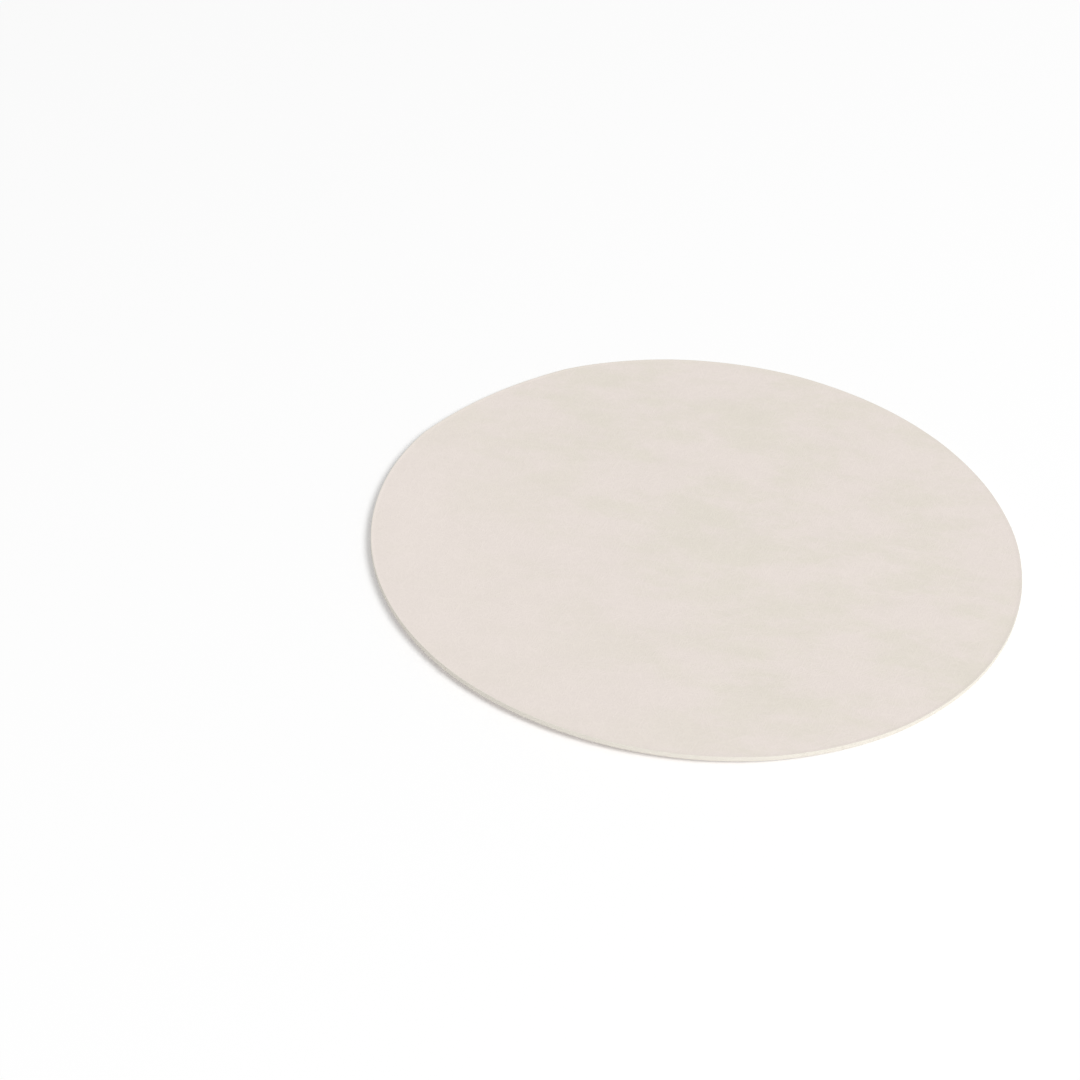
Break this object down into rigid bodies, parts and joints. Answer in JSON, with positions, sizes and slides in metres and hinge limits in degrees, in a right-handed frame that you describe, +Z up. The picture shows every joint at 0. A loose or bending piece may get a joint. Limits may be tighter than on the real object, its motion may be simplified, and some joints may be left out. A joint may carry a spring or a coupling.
{
  "type": "filter paper disc",
  "caption": "Flat round disc of thick off-white cellulose filter paper, die-cut, laid in a funnel, holder or test cell to strain or drain a liquid.",
  "frame": {"origin": "centre of the disc's underside", "axes": "+Z up out of the sheet, square to both faces, on the side of the burr; +X and +Y lie in the sheet, and the slightly flattened stretch of rim is at 137 degrees from +X towards +Y"},
  "size_m": [0.05, 0.05, 0.0004],
  "materials": {
    "filter_paper": "matt, off-white, uncoated, with a soft cloudy formation and a fine felt grain"
  },
  "bodies": {
    "root": {"filter_disc": "filter_paper"}
  },
  "joints": []
}
